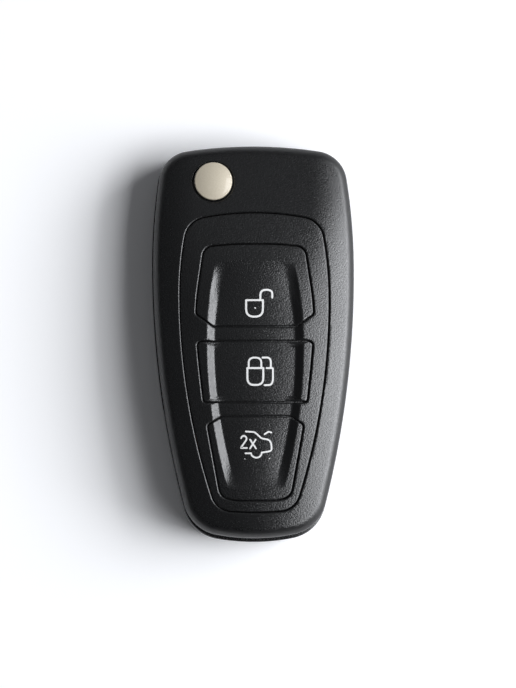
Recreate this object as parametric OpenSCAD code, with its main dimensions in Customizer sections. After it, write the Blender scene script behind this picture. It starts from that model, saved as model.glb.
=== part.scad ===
// Flip key fob of a car: a domed two-part case with three press keys in a panel, a blade that
// folds into a slot in the left side, a round release key over the blade's hub, and the radio
// module inside. Millimetres. +Y points to the blade end, +Z out of the key face, rear face at z = 0.

/* [Case] */
// Length over both ends
case_length = 78; // [77.5:0.1:79]
// Width at the widest place
case_width = 39.8; // [39.4:0.1:40.6]
// Height of the crown before the finger groove is cut
case_height = 16; // [15.9:0.1:16.6]
// Height of the joint between the two shells
parting_z = 8; // [7.8:0.1:8.2]
// Thickness of the case walls
wall = 1.5; // [1.3:0.1:1.7]
// Radius that rounds the rim of the front shell
front_round = 3; // [2.6:0.1:3.2]
// Radius that rounds the rim of the rear shell
rear_round = 3.5; // [3:0.1:3.8]
// Step between the rims of the rear and the front shell
rim_step = 0.15; // [0.1:0.05:0.25]
// Length of rear shell that shows past the front shell at the lower end
end_step = 0.7; // [0.5:0.05:0.9]
// Radius of the crown across the face
crown_across = 60; // [56:1:66]
// Radius of the crown along the face
crown_along = 255; // [245:5:280]

/* [Panel and keys] */
// Distance from the side of the case to the side of the panel, at the widest places
panel_margin = 5.4; // [5.2:0.1:5.7]
// Distance from the upper end of the case to the panel
panel_head = 13.8; // [13.7:0.1:14.1]
// Distance from the lower end of the case to the panel
panel_tail = 5.8; // [5.6:0.1:6.2]
// Thickness of the panel plate
panel_plate = 1.6; // [1.4:0.1:1.8]
// Gap between the panel and the front shell
panel_gap = 0.2; // [0.15:0.05:0.25]
// Gap around each press key
key_gap = 0.25; // [0.2:0.05:0.3]
// Travel of a press key
key_travel = 0.6; // [0.4:0.05:0.7]
// Depth of the finger groove at its middle
groove_depth = 0.95; // [0.7:0.05:1.1]
// Half width of the finger groove at its widest place
groove_half = 9.4; // [9:0.1:9.6]
// Width of the sloped flank of the finger groove
groove_flank = 1.7; // [1.4:0.1:2]

/* [Blade and release key] */
// Radius of the release key
release_radius = 3.78; // [3.5:0.02:3.86]
// Travel of the release key
release_travel = 2.4; // [2:0.1:2.5]
// Height of the release key over the case beside it
release_proud = 1; // [0.6:0.1:1.2]
// Gap around the release key
release_gap = 0.22; // [0.15:0.01:0.3]
// Radius of the hub's upper journal
journal_radius = 5.6; // [5.5:0.05:5.7]
// Running clearance of the hub's journals, on the radius
journal_clearance = 0.05; // [0.03:0.01:0.08]
// Thickness of the blade head
head_height = 5.2; // [4.8:0.1:5.3]
// Width of the blade
blade_width = 8.2; // [7.8:0.1:8.4]
// Thickness of the blade
blade_thick = 2.4; // [2:0.1:2.5]
// Length of the blade from the hub axis to the tip
blade_reach = 43.5; // [42:0.5:45]
// Depth of the milled track in each blade face
track_depth = 0.65; // [0.5:0.05:0.75]
// Diameter of the release spring's wire
spring_wire = 0.7; // [0.6:0.05:0.7]
// Radius of the release spring, at the middle of its wire
spring_radius = 2.6; // [2.5:0.05:2.6]
// Radius of the blade pin
pin_radius = 0.8; // [0.6:0.05:0.9]

/* [Module] */
// Thickness of the circuit board
board_thick = 1; // [0.8:0.1:1]
// Radius of the coin cell
cell_radius = 10; // [9.8:0.05:10]
// Height of the coin cell
cell_height = 3.2; // [3:0.1:3.2]
// Side of a tact switch
switch_side = 4.6; // [4:0.1:5]
// Height of a tact switch body
switch_height = 1.6; // [1.4:0.1:1.6]
// Thickness of the keypad sheet
sheet_thick = 0.7; // [0.6:0.1:0.9]

/* [Key ring] */
// Width of the key-ring recess
ring_width = 11; // [10.8:0.1:11.6]
// Radius of the key-ring bar
bar_radius = 1.1; // [0.9:0.05:1.1]

/* [Hidden] */
$fn = 64;

// Outlines are [half width, y of widest, top y, bottom y, then radii: top, upper side, lower side,
// bottom, top corner, bottom corner], all arcs tangent to one another. A side's radius comes from
// how far the side draws in between its widest place and the end
function bow(run, draw) = (run * run + draw * draw) / (2 * draw);
widest_down = 23.8;
upper_draw = 2.38;
lower_draw = 7.98;
case_o = [case_width / 2, case_length / 2 - widest_down, case_length / 2, -case_length / 2, 90,
    bow(widest_down, upper_draw), bow(case_length - widest_down, lower_draw), 39.5, 6.6, 8];
front_o = [case_o[0] - rim_step, case_o[1], case_o[2] - rim_step, case_o[3] + end_step, case_o[4],
    case_o[5], case_o[6], case_o[7], case_o[8] - 0.2, case_o[9]];

// The panel, and how it sits to the plan that the key corners are drawn on
panel_half = case_o[0] - panel_margin;
panel_top = case_o[2] - panel_head;
panel_low = case_o[3] + panel_tail;
plan_half = 14.5;
plan_top = 25.2;
plan_low = -33.2;
along = (panel_top - panel_low) / (plan_top - plan_low);
across = panel_half / plan_half;
function plan_y(y) = panel_low + (y - plan_low) * along;
panel_widest = plan_y(9);
panel_o = [panel_half, panel_widest, panel_top, panel_low, 53, bow(panel_top - panel_widest, 2.02 * across),
    bow(panel_widest - panel_low, 7.1 * across), 60, 4.6, 4];

// Hub axis
hub = [12.1 - case_o[0], case_o[2] - 7.7];
// Middle height of the blade slot
slot_mid = case_height - 9;
crown_y = -2;
groove_top = plan_y(15.9);
groove_end = plan_y(-28.8);
part = 0.1;

// Blade slot, blade head pocket and their walls
slot_half = blade_thick / 2 + 0.3;
head_half = head_height / 2;
pocket_half = head_half + 0.2;
blade_u = -5.6;
slot_x = hub[0] + blade_u + blade_width / 2 + 0.4;
arm_in = 0.6;
arm_x = hub[0] + arm_in + 0.4;
slot_end = hub[1] - blade_reach - 0.8;
plate = 1.1;
slot_floor = 0.6;
lip = 0.4;
bay_x = slot_x + plate;
arm_u = 10.1;
arm_v = 10.5;
tang_v = 5.6;
tip_taper = 3;
disc_radius = 6.8;
pocket_radius = 8;
head_block = pocket_radius + plate;

// Lower edge of the solid round the pocket
block_y = hub[1] - arm_v - 0.5 - plate;

// Transponder, upright between the block and the side of the case
tag_width = 5.9;
tag_length = 11;
tag_height = 3;
tag_step = 2;
tag_x = (hub[0] + arm_u + 0.4 + plate + case_o[0] - wall - lip - 1.4) / 2;
tag_y = case_o[2] - 5.3 - tag_length;

// Stack of the module, from the rear
floor_z = wall;
cell_z = floor_z + part;
board_z = 5.4;
board_top = board_z + board_thick;
switch_top = board_top + switch_height;
sheet_z = board_top + 2.5;
key_seat = case_height - 4.9;
shoulder_z = case_height - 4.5;

// Key ring recess
ring_y = case_o[3] + 8;
ring_z = 7;
bar_y = case_o[3] + 2.4;
bar_z = bar_radius + 0.6;

function unit(a) = [cos(a), sin(a)];
function angle_of(v) = atan2(v[1], v[0]);

// Crossing of two circles, on the side s of the line from a to b
function meet(a, ra, b, rb, s) =
    let (d = b - a, l = norm(d), t = (ra * ra - rb * rb + l * l) / (2 * l))
    a + d * t / l + s * sqrt(ra * ra - t * t) * [-d[1], d[0]] / l;

function arc(c, r, a, b, n) = [for (i = [0 : n - 1]) c + r * unit(a + (b - a) * i / n)];

// Right half of an outline, inset by d, from the top centre down to the bottom centre
function half_outline(o, d) =
    let (
        ct = [0, o[2] - o[4]],
        cu = [o[0] - o[5], o[1]],
        cl = [o[0] - o[6], o[1]],
        cb = [0, o[3] + o[7]],
        tc = meet(ct, o[4] - o[8], cu, o[5] - o[8], -1),
        bc = meet(cb, o[7] - o[9], cl, o[6] - o[9], 1)
    )
    concat(
        arc(ct, o[4] - d, 90, angle_of(tc - ct), 4),
        arc(tc, o[8] - d, angle_of(tc - ct), angle_of(tc - cu), 7),
        arc(cu, o[5] - d, angle_of(tc - cu), 0, 4),
        arc(cl, o[6] - d, 0, angle_of(bc - cl), 8),
        arc(bc, o[9] - d, angle_of(bc - cl), angle_of(bc - cb), 6),
        arc(cb, o[7] - d, angle_of(bc - cb), -90, 4),
        [[0, o[3] + d]]
    );

function outline(o, d = 0) =
    let (h = half_outline(o, d), n = len(h))
    concat(h, [for (i = [n - 2 : -1 : 1]) [-h[i][0], h[i][1]]]);

module region(o, d = 0) polygon(outline(o, d));

// Polygon of [x, y, radius] corners, grown outwards by g, with an arc at each corner
function corner_normal(a, b) = let (d = b - a) [d[1], -d[0]] / norm(d);
function grown(p, g) = let (n = len(p)) [for (i = [0 : n - 1])
    let (
        q = [p[i][0], p[i][1]],
        a = [p[(i + n - 1) % n][0], p[(i + n - 1) % n][1]],
        b = [p[(i + 1) % n][0], p[(i + 1) % n][1]],
        m = corner_normal(a, q),
        k = corner_normal(q, b)
    )
    concat(q + g * (m + k) / (1 + m * k), p[i][2] + g)];
function corner_arc(a, q, b, r, n) =
    let (
        u = (a - q) / norm(a - q),
        w = (b - q) / norm(b - q),
        half = acos(u * w) / 2,
        c = q + (u + w) / norm(u + w) * r / sin(half),
        s = angle_of(q + u * r / tan(half) - c),
        e = angle_of(q + w * r / tan(half) - c),
        t = e - s > 180 ? e - s - 360 : e - s < -180 ? e - s + 360 : e - s
    )
    [for (i = [0 : n]) c + r * unit(s + t * i / n)];
function rounded(p) = let (n = len(p)) [for (i = [0 : n - 1])
    let (
        q = [p[i][0], p[i][1]],
        a = [p[(i + n - 1) % n][0], p[(i + n - 1) % n][1]],
        b = [p[(i + 1) % n][0], p[(i + 1) % n][1]]
    )
    each corner_arc(a, q, b, p[i][2], 4)];
function mirrored(p) = concat(p, [for (i = [len(p) - 1 : -1 : 0]) [-p[i][0], p[i][1], p[i][2]]]);
function on_panel(p) = mirrored([for (q = p) [q[0] * across, plan_y(q[1]), q[2] * across]]);

// Width of the panel's rim
panel_rim = 1.2;

// Press keys: right-hand corners from the bottom up, mirrored to the left
unlock_p = on_panel([[8.1, 3.05, 0.6], [11.4, 5.4, 0.9], [11.15, 9, 40], [9.75, 18.45, 2], [4, 18.95, 30]]);
lock_p = on_panel([[10, -11.75, 0.5], [10.75, -5, 90], [11.2, -0.1, 0.8]]);
boot_p = on_panel([[4, -30.9, 10], [6.75, -30.2, 2.2], [8.35, -21.4, 60], [9.25, -16.4, 0.8], [6.5, -14.8, 0.6]]);
key_y = [plan_y(11.2), plan_y(-5.7), plan_y(-22.5)];
key_x = 3.2 * across;

// Height of the crown, and the same surface as a solid set back by d
function crown(x, y) =
    let (r = crown_along - crown_across + sqrt(crown_across * crown_across - x * x))
    case_height - crown_along + sqrt(r * r - (y - crown_y) * (y - crown_y));
module crown_solid(d = 0)
    translate([0, crown_y, case_height - crown_along])
        rotate([0, -90, 0])
            rotate([0, 0, -11])
                rotate_extrude(angle = 22, $fn = 360)
                    intersection() {
                        translate([crown_along - crown_across, 0]) circle(crown_across - d);
                        translate([crown_along - 20, -24]) square([30, 48]);
                    }

// Solid skin over rings of equal length, each clockwise seen from above, lowest first
function skin_faces(n, m) = concat(
    [for (k = [0 : m - 2], i = [0 : n - 1], t = [0, 1])
        let (a = k * n + i, b = k * n + (i + 1) % n)
        t == 0 ? [a, b, b + n] : [a, b + n, a + n]],
    [[for (i = [n - 1 : -1 : 0]) i]],
    [[for (i = [0 : n - 1]) (m - 1) * n + i]]
);
module skin(rings) polyhedron([for (r = rings, p = r) p], skin_faces(len(rings[0]), len(rings)));

function at_height(p, z) = [for (q = p) [q[0], q[1], z]];

// Front shell outside: wall, rolled rim that ends in the slope of the crown, then the crown
rim_end = 74;
module front_outside() {
    last = outline(front_o, front_round * (1 - cos(rim_end)));
    base = [for (q = last) crown(q[0], q[1]) - front_round * sin(rim_end)];
    function rim(a) = let (p = outline(front_o, front_round * (1 - cos(a))))
        [for (i = [0 : len(p) - 1]) [p[i][0], p[i][1], base[i] + front_round * sin(a)]];
    function inner(f) = [for (q = last) let (x = q[0] * (1 - f), y = q[1] * (1 - f * 0.45)) [x, y, crown(x, y)]];
    skin(concat(
        [at_height(outline(front_o, 0.15), parting_z), at_height(outline(front_o), parting_z + 0.2)],
        [for (a = [0 : rim_end / 6 : rim_end]) rim(a)],
        [inner(0.3), inner(0.7)]
    ));
}

// Rear shell outside, cut flat at z = 0
module rear_outside() {
    function rim(a) = at_height(outline(case_o, rear_round * (1 - cos(a))), rear_round * (1 - sin(a)));
    intersection() {
        skin(concat(
            [at_height(outline(case_o, rear_round * 1.25), -0.5)],
            [for (a = [80 : -16 : 0]) rim(a)],
            [at_height(outline(case_o), parting_z - 0.2), at_height(outline(case_o, 0.15), parting_z)]
        ));
        translate([-30, -50, 0]) cube([60, 100, 20]);
    }
}

module slab(z0, z1) translate([0, 0, z0]) linear_extrude(z1 - z0) children();
module rect(x0, y0, x1, y1) translate([x0, y0]) square([x1 - x0, y1 - y0]);

// Plan of the space that the blade head sweeps, and of the blade's strip
module pocket_2d() {
    translate(hub) circle(pocket_radius);
    rect(-30, hub[1], hub[0] + arm_u + 0.4, 50);
    rect(-30, hub[1] - arm_v - 0.5, arm_x, hub[1] + 1);
}
module strip_2d() rect(-30, slot_end, slot_x, hub[1]);
// Plan of the solid round the pocket
module block_2d() {
    translate(hub) circle(head_block);
    rect(-30, hub[1] - 1, hub[0] + arm_u + 0.4 + plate, 50);
    rect(-30, hub[1] - arm_v - 0.5 - plate, arm_x + plate, hub[1] + 1);
}
// Plan of the module's bay, beside the blade's strip
module bay_2d(d) difference() {
    open_bay_2d(d);
    rect(-30, slot_end - plate, bay_x, hub[1]);
}
module ring_block_2d() rect(-ring_width / 2 - 1.2, case_o[3] - 5, ring_width / 2 + 1.2, ring_y + 1.2);
module open_bay_2d(d) difference() {
    region(case_o, d);
    block_2d();
}

module blade_space() {
    slab(slot_mid - pocket_half, slot_mid + pocket_half) pocket_2d();
    slab(slot_mid - slot_half, slot_mid + slot_half) strip_2d();
}

module front_shell() color([0.1, 0.1, 0.11]) difference() {
    front_outside();
    blade_space();
    // Rebate for the rear shell's lip, and the bays
    slab(parting_z - 1, parting_z + 1) bay_2d(wall - part);
    slab(parting_z - 1, slot_mid + slot_half + plate) bay_2d(wall + 0.5);
    intersection() {
        slab(slot_mid + slot_half + plate - part, 20) open_bay_2d(wall + 1.9);
        crown_solid(wall);
    }
    // Window of the panel
    slab(slot_mid + pocket_half + plate, 20) region(panel_o, -panel_gap);
    // Bore of the hub's journal and hole of the release key
    translate([hub[0], hub[1], slot_mid]) cylinder(r = journal_radius + journal_clearance, h = shoulder_z - slot_mid);
    translate([hub[0], hub[1], slot_mid]) cylinder(r = release_radius + release_gap, h = 20);
}

module rear_shell() color([0.08, 0.08, 0.09]) difference() {
    union() {
        difference() {
            rear_outside();
            slab(floor_z, slot_mid - slot_half - slot_floor) difference() {
                open_bay_2d(wall + lip);
                ring_block_2d();
            }
            slab(slot_mid - slot_half - slot_floor - part, 20) difference() {
                bay_2d(wall + lip);
                ring_block_2d();
            }
        }
        // Lip inside the joint
        slab(parting_z - 0.8, parting_z + 0.8) difference() {
            bay_2d(wall);
            bay_2d(wall + lip);
            ring_block_2d();
        }
        // Cradle of the transponder
        slab(floor_z - part, floor_z + 2) difference() {
            rect(tag_x - tag_width / 2 - 0.9, tag_y - 0.9, tag_x + tag_width / 2 + 0.9, tag_y + tag_length + 0.9);
            rect(tag_x - tag_width / 2 - part, tag_y - part, tag_x + tag_width / 2 + part, tag_y + tag_length + part);
        }
    }
    blade_space();
    translate([hub[0], hub[1], floor_z]) cylinder(r = lower_radius + journal_clearance, h = 5);
    // Key ring recess, open to the rear and to the lower end
    translate([-ring_width / 2, case_o[3] - 5, -1]) cube([ring_width, 13, ring_z + 1]);
    translate([-ring_width / 2 - 1.4 - part, bar_y, bar_z]) rotate([0, 90, 0])
        cylinder(r = bar_radius, h = ring_width + 2.8 + 2 * part);
}

module keyring_bar() color([0.7, 0.7, 0.72])
    translate([-ring_width / 2 - 1.4, bar_y, bar_z]) rotate([0, 90, 0])
        cylinder(r = bar_radius, h = ring_width + 2.8);

// Finger groove as a cutter: bowed sides that draw in at the top, sloped flanks, and a floor that
// runs out gently on the centre line and late beside the flanks
groove_mid = (groove_top + groove_end) / 2;
groove_reach = (groove_top - groove_end) / 2;
groove_bend = groove_top - 4.5;
function groove_share(y, power) = 1 - pow(abs(y - groove_mid) / groove_reach, power);
function groove_side(y) =
    let (r = y > 0 ? 69 : 104, b = max(0, y - groove_bend))
    groove_half - r + sqrt(r * r - y * y) - 0.1 * b * b;
function groove_run(y) = groove_flank
    * (y > groove_mid ? 1.4 - 0.4 * groove_share(y, 4) : max(groove_share(y, 8), 0.15));
function groove_floor(c, x, y) = crown(x, y)
    - groove_depth * (groove_share(y, 2) * (1 - c * c) + groove_share(y, 8) * c * c);
module groove() {
    rows = [for (i = [0 : 24]) groove_mid + (groove_reach + 1.5) * cos(i * 7.5)];
    cols = [-1, -0.66, -0.33, 0, 0.33, 0.66, 1];
    function lip(y, s, e) = let (x = groove_side(y) + e) [s * x, y, crown(x, y) + max(e, 0) * 0.6];
    function row(y) = concat(
        [lip(y, -1, 1.2), lip(y, -1, 0)],
        [for (c = cols) let (x = c * (groove_side(y) - groove_run(y))) [x, y, groove_floor(c, x, y)]],
        [lip(y, 1, 0), lip(y, 1, 1.2)]
    );
    n = 11;
    m = len(rows);
    pts = concat([for (y = rows) each row(y)], [for (y = rows) each [for (q = row(y)) [q[0], q[1], case_height + 2]]]);
    function id(k, i, up) = (up ? m * n : 0) + k * n + i;
    faces = concat(
        [for (k = [0 : m - 2], i = [0 : n - 2], t = [0, 1]) t == 0
            ? [id(k, i, false), id(k + 1, i, false), id(k + 1, i + 1, false)]
            : [id(k, i, false), id(k + 1, i + 1, false), id(k, i + 1, false)]],
        [for (k = [0 : m - 2], i = [0 : n - 2], t = [0, 1]) t == 0
            ? [id(k, i, true), id(k + 1, i + 1, true), id(k + 1, i, true)]
            : [id(k, i, true), id(k, i + 1, true), id(k + 1, i + 1, true)]],
        [for (k = [0 : m - 2], t = [0, 1]) t == 0
            ? [id(k, 0, false), id(k, 0, true), id(k + 1, 0, true)]
            : [id(k, 0, false), id(k + 1, 0, true), id(k + 1, 0, false)]],
        [for (k = [0 : m - 2], t = [0, 1]) t == 0
            ? [id(k, n - 1, false), id(k + 1, n - 1, true), id(k, n - 1, true)]
            : [id(k, n - 1, false), id(k + 1, n - 1, false), id(k + 1, n - 1, true)]],
        [for (i = [0 : n - 2], t = [0, 1]) t == 0
            ? [id(0, i, false), id(0, i + 1, true), id(0, i, true)]
            : [id(0, i, false), id(0, i + 1, false), id(0, i + 1, true)]],
        [for (i = [0 : n - 2], t = [0, 1]) t == 0
            ? [id(m - 1, i, false), id(m - 1, i, true), id(m - 1, i + 1, true)]
            : [id(m - 1, i, false), id(m - 1, i + 1, true), id(m - 1, i + 1, false)]]
    );
    polyhedron(pts, faces);
}

module key_2d(p, g = 0) polygon(rounded(grown(p, g)));

module button_panel() color([0.11, 0.11, 0.12]) difference() {
    union() {
        intersection() {
            slab(5, 20) region(panel_o, 0);
            crown_solid();
        }
        // Flange under the front shell
        intersection() {
            slab(5, 20) intersection() {
                region(panel_o, -0.8);
                rect(-20, -40, 20, 21);
            }
            crown_solid(wall + part);
        }
    }
    intersection() {
        slab(4, 20) region(panel_o, panel_rim);
        crown_solid(panel_plate);
    }
    crown_solid(panel_plate + 0.8);
    for (p = [unlock_p, lock_p, boot_p]) slab(4, 20) key_2d(p, key_gap);
    groove();
}

// A press key: cap to the crown, retaining flange under the panel, foot on the keypad
module press_key(p, y) {
    difference() {
        union() {
            intersection() {
                slab(5, 20) key_2d(p);
                crown_solid();
            }
            intersection() {
                slab(5, 20) intersection() {
                    key_2d(p, key_gap + 0.4);
                    region(panel_o, panel_rim + 0.3);
                }
                crown_solid(panel_plate + 0.15);
            }
        }
        crown_solid(panel_plate + 0.75);
        groove();
    }
    intersection() {
        slab(key_seat, 20) rect(key_x - 2.5, y - 2, key_x + 2.5, y + 2);
        crown_solid(panel_plate + 0.4);
    }
}
module unlock_button() color([0.12, 0.12, 0.13]) press_key(unlock_p, key_y[0]);
module lock_button() color([0.12, 0.12, 0.13]) press_key(lock_p, key_y[1]);
module boot_button() color([0.12, 0.12, 0.13]) press_key(boot_p, key_y[2]);

// Room for the antenna loop beside the keypad
loop_room = 1.8;

// Keypad mat: sheet with a skirt that stands on the board, a pad over and a nub under each key
module mat_2d(d) intersection() {
    region(panel_o, 0.8 + d);
    rect(bay_x + loop_room + d, ring_y + loop_room + 1.1 + d, 20, block_y - loop_room - d);
}
module keypad() color([0.2, 0.2, 0.21]) {
    slab(sheet_z, sheet_z + sheet_thick) mat_2d(0);
    slab(board_top, sheet_z + part) difference() {
        mat_2d(0);
        mat_2d(1);
    }
    for (y = key_y) translate([key_x, y, 0]) {
        translate([0, 0, sheet_z]) cylinder(r = 1.9, h = key_seat - sheet_z - part);
        translate([0, 0, switch_top + 0.5]) cylinder(r = 1.4, h = sheet_z - switch_top);
    }
}

// Release key: domed cap, retaining flange and stem, one turned profile
hub_crown = crown(hub[0], hub[1]);
release_top = hub_crown + release_proud;
flange_z = shoulder_z - 1;
module release_button() color([0.8, 0.76, 0.68]) translate([hub[0], hub[1], 0]) rotate_extrude($fn = 96) {
    intersection() {
        rect(0, flange_z, release_radius, 30);
        translate([0, release_top - 12]) circle(12, $fn = 360);
    }
    rect(0, flange_z, journal_radius - 1, shoulder_z - part);
    rect(0, flange_z - 4.4, 1.6, flange_z + part);
}

// Blade head: disc, arm and journals, with the bores for the spring and the release key
lower_radius = 4.4;
spring_seat = 1.4;
spring_z = floor_z + spring_seat;
module blade_head() color([0.13, 0.13, 0.14]) translate([hub[0], hub[1], 0]) difference() {
    union() {
        slab(slot_mid - head_half, slot_mid + head_half) {
            circle(disc_radius);
            polygon([[-arm_u, -4], [-arm_u, -arm_v], [arm_in, -arm_v], [arm_in, 0], [-6, 3]]);
        }
        translate([0, 0, slot_mid]) cylinder(r = journal_radius, h = shoulder_z - part - slot_mid);
        translate([0, 0, floor_z + 0.2]) cylinder(r = lower_radius, h = slot_mid - floor_z);
    }
    translate([0, 0, flange_z - release_travel - 0.3]) cylinder(r = journal_radius - 0.85, h = 20);
    translate([0, 0, spring_z]) cylinder(r = spring_radius + spring_wire, h = 20);
    translate([blade_u - blade_width / 2, -arm_v - 1, slot_mid - blade_thick / 2])
        cube([blade_width, arm_v + 1 - tang_v, blade_thick]);
    translate([blade_u, -8, 0]) cylinder(r = pin_radius, h = 20);
}

// Blade with a stepped track milled in both faces
bites = [0.2, 0.9, -0.6, 0.4, -0.9, 0.7, -0.2, 0.5, 0];
module key_blade() color([0.72, 0.72, 0.74]) translate([hub[0] + blade_u, hub[1], slot_mid - blade_thick / 2]) {
    w = blade_width / 2;
    difference() {
        linear_extrude(blade_thick) polygon([[-w, -tang_v], [-w, tip_taper - blade_reach], [-w * 0.5, 0.6 - blade_reach],
            [-w * 0.2, -blade_reach], [w * 0.2, -blade_reach], [w * 0.5, 0.6 - blade_reach], [w, tip_taper - blade_reach], [w, -tang_v]]);
        for (z = [-1, blade_thick - track_depth]) translate([0, 0, z]) linear_extrude(track_depth + 1)
            polygon(concat(
                [for (i = [0 : 8]) each [[bites[i] - 1.4, -15 - i * 3.4], [bites[i] - 1.4, -17 - i * 3.4]]],
                [[-1.4, -50], [1.4, -50]],
                [for (i = [8 : -1 : 0]) each [[bites[i] + 1.4, -17 - i * 3.4], [bites[i] + 1.4, -15 - i * 3.4]]]
            ));
        translate([0, -8, -1]) cylinder(r = pin_radius, h = 10);
    }
}
module blade_pin() color([0.6, 0.6, 0.62])
    translate([hub[0] + blade_u, hub[1] - 8, slot_mid - head_half]) difference() {
        cylinder(r = pin_radius, h = head_height);
        translate([0, 0, -1]) cylinder(r = pin_radius / 2, h = head_height + 2);
    }

// Release spring: a helix of six-sided wire with eight rings to a turn
module flip_spring() color([0.65, 0.65, 0.67]) {
    r = spring_wire / 2;
    turns = 6;
    low = spring_z + r + 0.02;
    rise = flange_z - r - 0.02 - low;
    rings = turns * 8;
    path = spring_radius;
    lead = atan(rise / (2 * PI * path * turns));
    pts = [for (k = [0 : rings], i = [0 : 5])
        let (
            a = k * 45,
            e = r * unit(i * 60),
            out = [cos(a), sin(a), 0],
            up = [sin(a) * sin(lead), -cos(a) * sin(lead), cos(lead)]
        )
        out * (path + e[0]) + up * e[1] + [hub[0], hub[1], low + rise * k / rings]];
    faces = concat(
        [for (k = [0 : rings - 1], i = [0 : 5], t = [0, 1])
            let (a = k * 6 + i, b = k * 6 + (i + 1) % 6)
            t == 0 ? [a, a + 6, b + 6] : [a, b + 6, b]],
        [[for (i = [0 : 5]) i]],
        [[for (i = [5 : -1 : 0]) rings * 6 + i]]
    );
    polyhedron(pts, faces);
    echo(spring_gap = rise / turns - spring_wire);
}

// Circuit board and what stands on it
module board_2d(d) intersection() {
    region(case_o, wall + 0.8 + d);
    union() {
        rect(bay_x + 0.3 + d, ring_y + 1.4 + d, 25, block_y - 0.3 - d);
        rect(arm_x + plate + 0.3 + d, ring_y + 1.4 + d, 25, case_o[2] - 17.6 - d);
        rect(-12 + d, ring_y + 1.4 + d, 25, slot_end - plate - 0.4 - d);
    }
}
module circuit_board() color([0.1, 0.35, 0.2]) slab(board_z, board_top) board_2d(0);
module antenna_loop() color([0.75, 0.5, 0.25]) slab(board_top, board_top + 0.08) difference() {
    board_2d(0.4);
    board_2d(1.2);
    rect(panel_half - 6.5, tag_y - 7, panel_half - 3.5, tag_y);
}
module tact_switches() color([0.3, 0.3, 0.32]) for (y = key_y) translate([key_x, y, board_top]) {
    translate([-switch_side / 2, -switch_side / 2, 0]) cube([switch_side, switch_side, switch_height]);
    cylinder(r = 1.2, h = switch_height + 0.4);
}
// Places of the chips, between the switches
chip_right = panel_half - 5.5;
chip_left = bay_x + 5.2;
chip_upper = (key_y[0] + key_y[1]) / 2;
chip_lower = (key_y[1] + key_y[2]) / 2;
module controller_chip() color([0.07, 0.07, 0.08]) translate([chip_right, chip_upper, board_top]) {
    translate([-2.2, -3.3, 0.1]) cube([4.4, 6.6, 1.1]);
    for (i = [0 : 7], s = [-1, 1]) translate([s * 2.6 - 0.6, -2.42 + i * 0.65, 0]) cube([1.2, 0.3, 0.25]);
}
module radio_chip() color([0.07, 0.07, 0.08]) translate([chip_left, chip_lower, board_top]) {
    translate([-2, -2, 0.05]) cube([4, 4, 0.85]);
    for (i = [0 : 4], s = [-1, 1]) translate([s * 1.9 - 0.2, -1.45 + i * 0.65, 0]) cube([0.4, 0.3, 0.2]);
}
module crystal() color([0.8, 0.8, 0.78]) translate([chip_left, chip_lower - 4.5, board_top]) {
    translate([-1.6, -1.25, 0]) cube([3.2, 2.5, 0.4]);
    translate([-1.4, -1.05, 0.3]) cube([2.8, 2.1, 0.5]);
}
module chip_parts() color([0.5, 0.42, 0.3])
    for (q = [[chip_right - 1, key_y[0] - 2.2], [chip_right + 1, key_y[0] - 2.2],
        [chip_right - 1, key_y[0] - 0.2], [chip_right + 1, key_y[0] - 0.2], [chip_right - 0.6, key_y[0] + 1.8],
        [chip_left, chip_upper + 3.2], [chip_left, chip_upper], [chip_left, chip_upper - 4.2],
        [chip_right - 1.8, key_y[1] - 3.3], [chip_right + 0.4, key_y[1] - 3.3]])
        translate([q[0] - 0.8, q[1] - 0.4, board_top]) cube([1.6, 0.8, 0.6]);

// Coin cell under the board, with its tray, clip and contact
tray_wall = 1.5;
tray_height = 2.6;
cell_room = 0.65;
cell_y = case_o[3] + 31;
function side_at(y) = case_o[0] - case_o[6] + sqrt(case_o[6] * case_o[6] - (y - case_o[1]) * (y - case_o[1]));
cell = [side_at(cell_y) - wall - lip - cell_radius - tray_wall - cell_room, cell_y];
module coin_cell() color([0.75, 0.75, 0.76]) translate([cell[0], cell[1], cell_z]) rotate_extrude($fn = 96)
    polygon([[0, 0], [cell_radius - 0.3, 0], [cell_radius, 0.3], [cell_radius, cell_height - 0.5],
        [cell_radius - 0.3, cell_height - 0.25], [cell_radius - 1.2, cell_height - 0.25], [cell_radius - 1.4, cell_height],
        [0, cell_height]]);
module module_tray() color([0.25, 0.25, 0.26]) translate([cell[0], cell[1], floor_z]) {
    difference() {
        cylinder(r = cell_radius + tray_wall, h = tray_height);
        translate([0, 0, -1]) cylinder(r = cell_radius + 0.5, h = tray_height + 2);
    }
    for (a = [58, 122, 238, 302]) translate([(cell_radius + 1.3) * cos(a), (cell_radius + 1.3) * sin(a), 0])
        cylinder(r = 0.8, h = board_z - floor_z);
}
module cell_clip() color([0.7, 0.68, 0.6]) translate([cell[0], cell[1], 0]) {
    rotate([0, 0, 70]) rotate_extrude(angle = 40) rect(cell_radius + 0.05, cell_z + 0.8, cell_radius + 0.35, board_z);
    translate([-1.5, cell_radius + 0.1, board_z - 0.25]) cube([3, 2, 0.25]);
}
module cell_contact() color([0.7, 0.68, 0.6]) translate([cell[0], cell[1], 0]) {
    translate([-5, -1.5, board_z - 0.25]) cube([10, 3, 0.25]);
    translate([0, 0, cell_z + cell_height]) cylinder(r = 1.2, h = board_z - cell_z - cell_height - part);
}
module transponder() color([0.15, 0.15, 0.16]) translate([tag_x - tag_width / 2, tag_y, floor_z]) difference() {
    cube([tag_width, tag_length, tag_height]);
    translate([-1, -1, tag_height - 1]) cube([tag_width + 2, tag_step + 1, tag_height]);
}

front_shell();
rear_shell();
button_panel();
unlock_button();
lock_button();
boot_button();
keypad();
release_button();
flip_spring();
blade_head();
key_blade();
blade_pin();
circuit_board();
tact_switches();
controller_chip();
radio_chip();
crystal();
chip_parts();
antenna_loop();
coin_cell();
cell_clip();
cell_contact();
module_tray();
transponder();
keyring_bar();
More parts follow.
